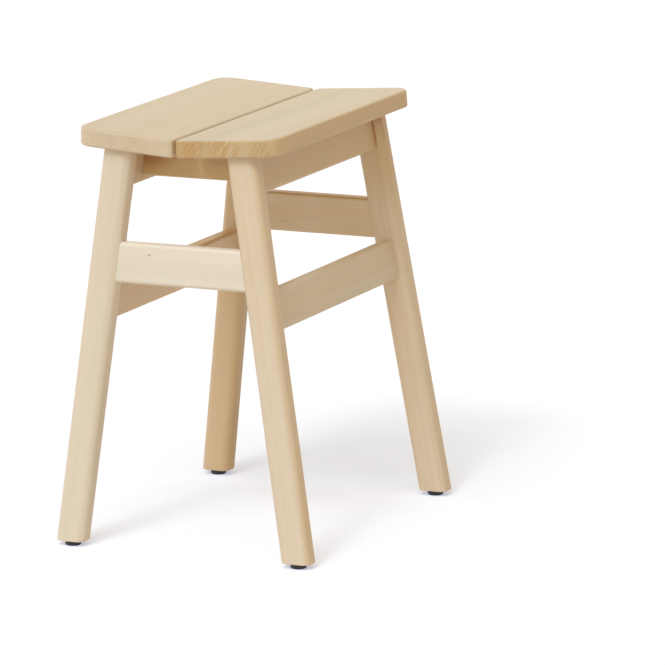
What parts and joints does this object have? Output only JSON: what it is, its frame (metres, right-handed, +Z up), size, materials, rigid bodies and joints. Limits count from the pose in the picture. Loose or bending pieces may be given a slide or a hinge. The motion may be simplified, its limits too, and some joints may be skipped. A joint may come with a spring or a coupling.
{
  "type": "stool",
  "caption": "Low rectangular wooden stool: a seat of planks falling to a middle gap, splayed legs, board rails on every side and small round floor glides.",
  "frame": {"origin": "on the floor under the middle of the seat", "axes": "+Z up, +Y along the seat towards its back end, +X across the seat to its right side"},
  "size_m": [0.3004, 0.3588, 0.4498],
  "materials": {
    "beech": "clear matt lacquer",
    "dowel_wood": "plain turned wood",
    "glide_plastic": "moulded, matt",
    "steel": "zinc plated"
  },
  "bodies": {
    "root": {"seat_plank_left": "beech", "seat_plank_right": "beech", "leg_front_left": "beech", "leg_front_right": "beech", "leg_back_left": "beech", "leg_back_right": "beech", "end_rail_front": "beech", "end_rail_back": "beech", "side_rail_left": "beech", "side_rail_right": "beech", "apron_left": "beech", "apron_right": "beech", "batten_front": "beech", "batten_back": "beech", "end_rail_dowels": "dowel_wood", "side_rail_dowels": "dowel_wood", "apron_dowels": "dowel_wood", "batten_dowels": "dowel_wood", "glide_front_left": "glide_plastic", "glide_front_right": "glide_plastic", "glide_back_left": "glide_plastic", "glide_back_right": "glide_plastic", "seat_screws": "steel", "glide_nails": "steel"}
  },
  "joints": []
}
